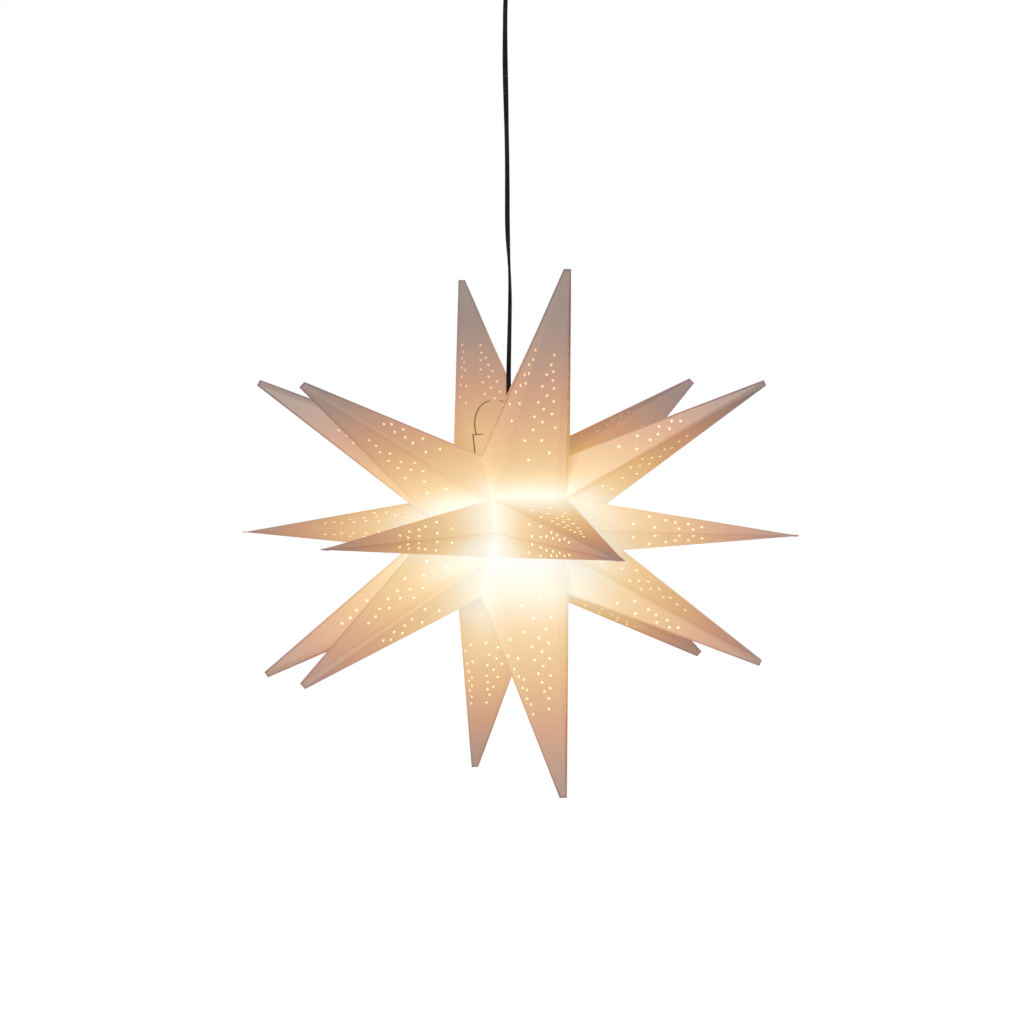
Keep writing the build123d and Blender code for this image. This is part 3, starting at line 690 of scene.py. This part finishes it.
def closing_flap(side):
    """Half of the round-topped lid: its panel, a dark line painted as shade in the gap along its cut edge,
    and the slit at its shoulder.
    """
    arch_rise = FLAP_ARCH_HEIGHT - FLAP_SHOULDER_HEIGHT
    slot_angle = math.acos(FLAP_SLOT_HALF_WIDTH / FLAP_ARCH_HALF_WIDTH)
    outline = [
        (FLAP_SLOT_HALF_WIDTH, 0),
        (FLAP_ROOT_HALF_WIDTH, 0),
        (FLAP_SHOULDER_HALF_WIDTH, FLAP_SHOULDER_HEIGHT),
    ]
    for step in range(ARCH_STEPS + 1):
        turn = slot_angle * step / ARCH_STEPS
        outline.append(
            (FLAP_ARCH_HALF_WIDTH * math.cos(turn), FLAP_SHOULDER_HEIGHT + arch_rise * math.sin(turn))
        )
    mesh = bmesh.new()
    half = FLAP_THICKNESS / 2
    face = mesh.faces.new([mesh.verts.new(on_flap(side * across, up, half)) for across, up in outline])
    face.normal_update()
    panel = bmesh.ops.inset_region(
        mesh, faces=[face], thickness=FLAP_SHADE_LINE_WIDTH * MM, use_even_offset=True, use_boundary=True
    )
    for edge_face in panel["faces"]:
        across = abs(edge_face.calc_center_median().x) / MM
        edge_face.material_index = 1 if across > FLAP_SLOT_HALF_WIDTH + FLAP_SHADE_LINE_WIDTH else 0
    drawn = bmesh.ops.extrude_face_region(mesh, geom=mesh.faces[:], use_keep_orig=True)
    bmesh.ops.translate(
        mesh,
        vec=-FLAP_OUT * FLAP_THICKNESS * MM,
        verts=[item for item in drawn["geom"] if isinstance(item, bmesh.types.BMVert)],
    )
    bmesh.ops.recalc_face_normals(mesh, faces=mesh.faces[:])
    # The slit at the shoulder: a thin dark box on the outside, painted shade where the cut gapes
    slit_middle = side * (FLAP_ARCH_HALF_WIDTH - FLAP_SLIT_LENGTH / 2)
    turn = Matrix((Vector((1, 0, 0)), FLAP_UP, FLAP_OUT)).transposed().to_4x4()
    slit = bmesh.ops.create_cube(
        mesh,
        size=MM,
        matrix=Matrix.Translation(on_flap(slit_middle, FLAP_SHOULDER_HEIGHT, half))
        @ turn
        @ Matrix.Diagonal((FLAP_SLIT_LENGTH, FLAP_SHADE_LINE_WIDTH, FLAP_SLIT_PROUD * 2, 1)),
    )
    for face in {face for point in slit["verts"] for face in point.link_faces}:
        face.material_index = 1
    return mesh


for side, name in ((-1, "left"), (1, "right")):
    flap = finish_piece(closing_flap(side), f"flap_{name}_panel", (paper_shaded, paper_gap_shade), f"flap_{name}")
    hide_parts(f"closing_flap_{name}")


# ---------------------------------------------------------------------------------------------------- cord
# The route. Where the photo shows the cord, it follows the middle line and the width measured there:
# (height over the star's centre, way to the view's right, twist in degrees)
CORD_ROUTE = [
    (598.0, 0.0, -19.4),
    (583.0, 0.0, -22),
    (566.0, -1.6, -32),
    (549.0, -4.4, -42),
    (530.0, -5.8, -47),
    (505.0, -6.1, -46),
    (470.0, -6.1, -17),
    (435.0, -5.3, 20),
    (400.0, -4.5, 50),
    (365.0, -3.9, 46),
    (335.0, -3.8, 38),
    (310.0, -3.8, 31),
    (290.0, -3.3, 48),
    (272.0, -2.3, 80),
    (250.0, -1.3, 98),
    (225.0, -1.0, 116),
    (185.0, -1.9, 129),
    (150.0, -2.6, 138),
    (115.0, -2.2, 148),
    (85.0, -0.6, 157),
    (72.0, 0.0, 160),
    (59.2, 0.0, 160.6),
]
CORD_CORE_OFFSET = (CORD_WIDTH - CORD_THICKNESS) / 2
CORD_CORE_RADIUS = CORD_THICKNESS / 2
# Each core's round stops here, where the web between the two cores begins
CORD_WEB_ANGLE = math.radians(126)
CORD_CORE_POINTS = 10


def route_line():
    """Points along the cord's smooth line, read from a NURBS spline through its route."""
    curve = bpy.data.curves.new("cord_route", "CURVE")
    curve.dimensions = "3D"
    curve.resolution_u = 8
    spline = curve.splines.new("NURBS")
    spline.points.add(len(CORD_ROUTE) - 1)
    for point, (height, across, _) in zip(spline.points, CORD_ROUTE):
        point.co = (*in_place(VIEW_RIGHT * across + Vector((0, 0, height))), 1.0)
    spline.order_u = 3
    spline.use_endpoint_u = True
    route = bpy.data.objects.new("cord_route", curve)
    bpy.context.scene.collection.objects.link(route)
    line = [point.co.copy() for point in bpy.data.meshes.new_from_object(route).vertices]
    bpy.data.objects.remove(route)
    return line


def twist_at(height):
    """The cord's turn about its own line at a height over the star's centre."""
    for (top, _, first), (bottom, _, last) in zip(CORD_ROUTE, CORD_ROUTE[1:]):
        if height >= bottom:
            share = min(max((top - height) / (top - bottom), 0), 1)
            return math.radians(first + (last - first) * share)
    return math.radians(CORD_ROUTE[-1][2])


def twin_flex(line):
    """The flex swept along its line: two round cores side by side with a groove between them."""
    section = []
    for side in (1, -1):
        for step in range(CORD_CORE_POINTS):
            turn = CORD_WEB_ANGLE * (2 * step / (CORD_CORE_POINTS - 1) - 1)
            core_x = CORD_CORE_OFFSET + CORD_CORE_RADIUS * math.cos(turn)
            section.append((side * core_x, side * CORD_CORE_RADIUS * math.sin(turn)))
    mesh = bmesh.new()
    end = bmesh.ops.create_circle(mesh, cap_ends=True, segments=len(section), radius=MM)
    ring = end["verts"]
    end_face = ring[0].link_faces[0]
    for place, point in enumerate(line):
        if place:
            drawn = bmesh.ops.extrude_face_region(mesh, geom=[end_face], use_keep_orig=place == 1)
            end_face = next(item for item in drawn["geom"] if isinstance(item, bmesh.types.BMFace))
        along = (line[min(place + 1, len(line) - 1)] - line[max(place - 1, 0)]).normalized()
        turn = twist_at(point.z / MM + HANG_DROP)
        wide = VIEW_RIGHT * math.cos(turn) + VIEW_LEVEL_BACK * math.sin(turn)
        wide = (wide - along * wide.dot(along)).normalized()
        thin = along.cross(wide)
        for corner, (x, y) in zip(end_face.verts, section):
            corner.co = point + (wide * x + thin * y) * MM
    bmesh.ops.recalc_face_normals(mesh, faces=mesh.faces[:])
    for face in mesh.faces:
        face.smooth = len(face.verts) == 4
    return mesh


cord_line = route_line()
cord = finish_piece(twin_flex(cord_line), "twin_flex", (pvc_flex,), None)
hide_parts("cord_swing_link", "hanging_cord")
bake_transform(cord)

# ----------------------------------------------------------------------------- ceiling fitting, holder, bulb
NODE_FINISHES = {
    pvc_flex: ("supply_cord", "wired_cord_end"),
    fitting_abs: ("canopy", "cord_grip", "cord_grip_nut"),
    holder_phenolic: ("holder_cap", "holder_shell", "holder_cord_clamp"),
    holder_porcelain: ("holder_insert",),
    terminal_nylon: ("terminal_block",),
    zinc_steel: ("mounting_bracket",),
    screw_steel: (
        "canopy_screws",
        "cord_grip_screw",
        "terminal_screws",
        "terminal_block_screw",
        "holder_cord_clamp_screws",
        "holder_terminal_screws",
    ),
    pressed_brass: ("terminal_clamps", "holder_terminals", "screw_contact", "centre_contact"),
    nickel_plate: ("bulb_cap", "bulb_contact"),
    opal_glass: ("bulb_glass",),
    clear_glass: ("bulb_stem",),
    lit_filament: ("bulb_filaments",),
}
for finish, nodes in NODE_FINISHES.items():
    for node in nodes:
        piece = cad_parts[node]
        piece.data.materials.clear()
        piece.data.materials.append(finish)


# ------------------------------------------------------------------------------------ floor, world and lamps
# What the floor needs on top of its own light to show white
FLOOR_LIFT = 0.8
# A floor well under the star, far wider than the view
FLOOR_DROP = 1750.0
FLOOR_SIZE = 40000.0
# The plain room's light on the star, beside the lamps
ROOM_LIGHT = 0.12


def seen_by_camera(tree):
    """1 for what the camera sees, straight on, in a gloss or through glass, and 0 for what only lights."""
    path = add_node(tree, "ShaderNodeLightPath")
    seen = math_node(tree, "MAXIMUM", path.outputs["Is Camera Ray"], path.outputs["Is Glossy Ray"])
    return math_node(tree, "MAXIMUM", seen, path.outputs["Is Transmission Ray"])


def studio_floor():
    """Matt white studio paper: white to the camera and in reflections, with the star's soft shadow."""
    material, tree, shader = new_material("matt_studio_paper")
    coords = add_node(tree, "ShaderNodeTexCoord")
    # Paper tooth, drawn 3 mm across
    tooth = add_node(
        tree, "ShaderNodeTexNoise", {"Vector": coords.outputs["Object"], "Scale": 1 / (3 * MM), "Detail": 2.0}
    )
    tone = ramp(tree, tooth.outputs["Fac"], [(0.3, "f2f2f2"), (0.7, "f6f6f6")])
    lift = math_node(tree, "MULTIPLY", seen_by_camera(tree), FLOOR_LIFT)
    shader.inputs["Roughness"].default_value = 0.9
    shader.inputs["Specular IOR Level"].default_value = 0.0
    shader.inputs["Emission Color"].default_value = colour("ffffff")
    tree.links.new(tone, shader.inputs["Base Color"])
    tree.links.new(lift, shader.inputs["Emission Strength"])
    return material


def studio_world():
    """A white background to the camera, and an even, weak light on everything else."""
    world = bpy.data.worlds.new("studio")
    world.use_nodes = True
    tree = world.node_tree
    tree.nodes.clear()
    room = add_node(tree, "ShaderNodeBackground", {"Color": colour("ffffff"), "Strength": ROOM_LIGHT})
    white = add_node(tree, "ShaderNodeBackground", {"Color": colour("ffffff"), "Strength": 1.0})
    mixed = add_node(
        tree, "ShaderNodeMixShader", {"Fac": seen_by_camera(tree), 1: room.outputs[0], 2: white.outputs[0]}
    )
    add_node(tree, "ShaderNodeOutputWorld", {"Surface": mixed.outputs[0]})
    return world


bpy.context.scene.world = studio_world()
mesh = bmesh.new()
bmesh.ops.create_grid(
    mesh,
    x_segments=1,
    y_segments=1,
    size=FLOOR_SIZE / 2 * MM,
    matrix=Matrix.Translation((0, 0, -FLOOR_DROP * MM)),
)
floor = finish_piece(mesh, "studio_floor", (studio_floor(),), None)


def soft_lamp(name, azimuth, elevation, level, spread):
    """A wide soft lamp, far off. At level 1 alone, a surface square to it shows its own colour."""
    lamp = bpy.data.objects.new(name, bpy.data.lights.new(name, "SUN"))
    lamp.data.energy = level * math.pi
    lamp.data.angle = math.radians(spread)
    turn, rise = math.radians(azimuth), math.radians(elevation)
    towards = Vector((math.sin(turn) * math.cos(rise), -math.cos(turn) * math.cos(rise), math.sin(rise)))
    lamp.rotation_mode = "QUATERNION"
    lamp.rotation_quaternion = towards.to_track_quat("Z", "Y")
    bpy.context.scene.collection.objects.link(lamp)


soft_lamp("front_softbox", azimuth=-30, elevation=8, level=0.9, spread=30)
soft_lamp("rear_fill", azimuth=160.6, elevation=-4, level=0.6, spread=20)
